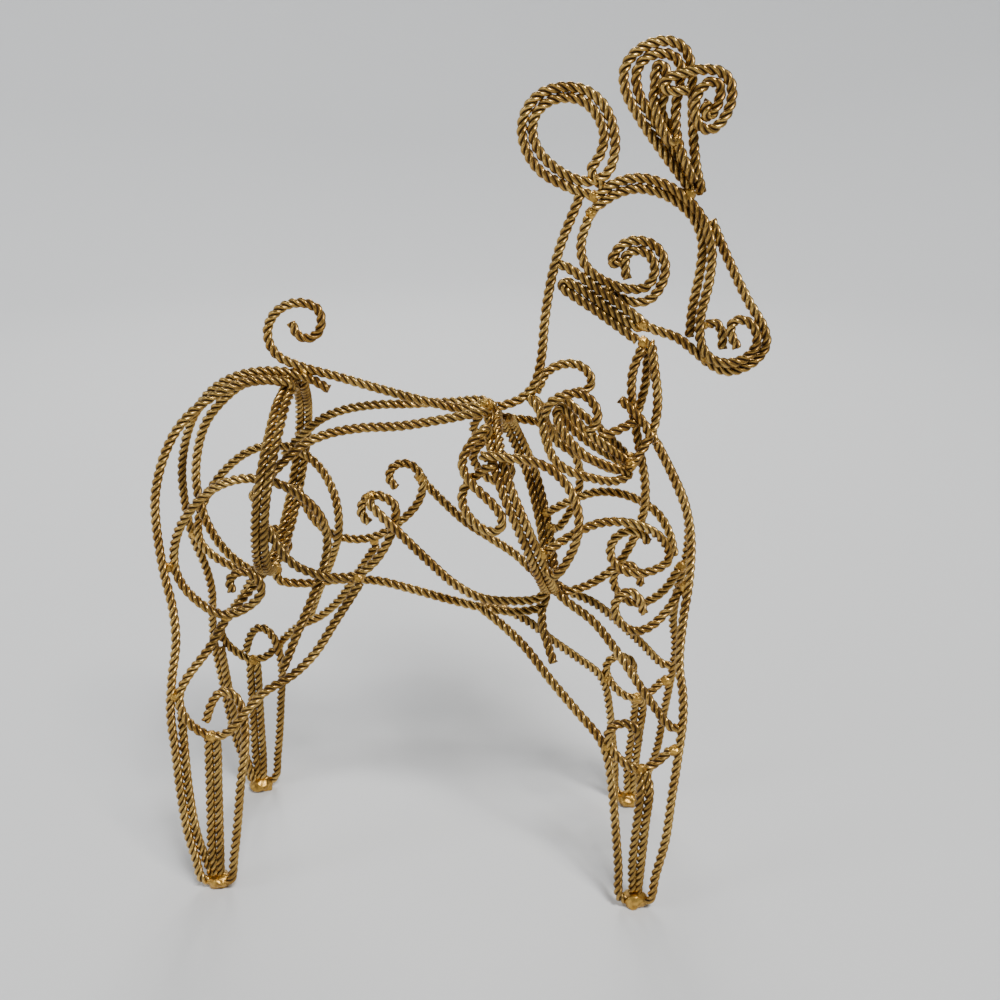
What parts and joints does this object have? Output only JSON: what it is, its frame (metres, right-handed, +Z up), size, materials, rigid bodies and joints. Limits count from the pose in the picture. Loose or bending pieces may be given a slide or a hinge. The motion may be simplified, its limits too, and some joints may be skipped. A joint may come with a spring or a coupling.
{
  "type": "metal reindeer figure",
  "caption": "Standing openwork reindeer ornament bent from brass-coloured twisted wire, with scrolled haunches, breast, tail, ear and antlers.",
  "frame": {"origin": "on the floor under the middle of the figure's length, midway between the left and right feet", "axes": "+X toward the nose, +Y toward the reindeer's left side, +Z up"},
  "size_m": [0.2823, 0.1018, 0.3998],
  "materials": {
    "aged_brass": "twisted wire with a worn brass coat, bright on the ridges and dark in the grooves"
  },
  "bodies": {
    "root": {"right_rump_wire": "aged_brass", "left_rump_wire": "aged_brass", "right_haunch_scroll": "aged_brass", "left_haunch_scroll": "aged_brass", "right_stifle_wire": "aged_brass", "left_stifle_wire": "aged_brass", "right_hock_wire": "aged_brass", "left_hock_wire": "aged_brass", "right_heel_wire": "aged_brass", "left_heel_wire": "aged_brass", "right_belly_scroll": "aged_brass", "left_belly_scroll": "aged_brass", "right_flank_brace": "aged_brass", "left_flank_brace": "aged_brass", "right_back_side_wire": "aged_brass", "left_back_side_wire": "aged_brass", "right_foreleg_wire": "aged_brass", "left_foreleg_wire": "aged_brass", "right_breast_wire": "aged_brass", "left_breast_wire": "aged_brass", "right_shoulder_brace": "aged_brass", "left_shoulder_brace": "aged_brass", "right_knee_scroll": "aged_brass", "left_knee_scroll": "aged_brass", "right_shoulder_scroll": "aged_brass", "left_shoulder_scroll": "aged_brass", "right_shoulder_bow": "aged_brass", "left_shoulder_bow": "aged_brass", "right_breast_scroll": "aged_brass", "left_breast_scroll": "aged_brass", "right_chest_curl": "aged_brass", "left_chest_curl": "aged_brass", "right_mane_curl": "aged_brass", "left_mane_curl": "aged_brass", "right_collar_wire": "aged_brass", "left_collar_wire": "aged_brass", "right_hind_shin_pair": "aged_brass", "left_hind_shin_pair": "aged_brass", "right_fore_shin_pair": "aged_brass", "left_fore_shin_pair": "aged_brass", "hip_hoop": "aged_brass", "shoulder_hoop": "aged_brass", "tail_wire": "aged_brass", "belly_line": "aged_brass", "rump_inner_wire": "aged_brass", "neck_back": "aged_brass", "throat_wire": "aged_brass", "jaw_wire": "aged_brass", "face_wire_lower": "aged_brass", "face_wire_upper": "aged_brass", "nostril_scroll": "aged_brass", "rump_top_wire": "aged_brass", "eye_scroll": "aged_brass", "cheek_wire": "aged_brass", "chest_wire": "aged_brass", "neck_front": "aged_brass", "antler_side": "aged_brass", "ear_loop": "aged_brass", "antler_loop": "aged_brass", "antler_post": "aged_brass"}
  },
  "joints": []
}
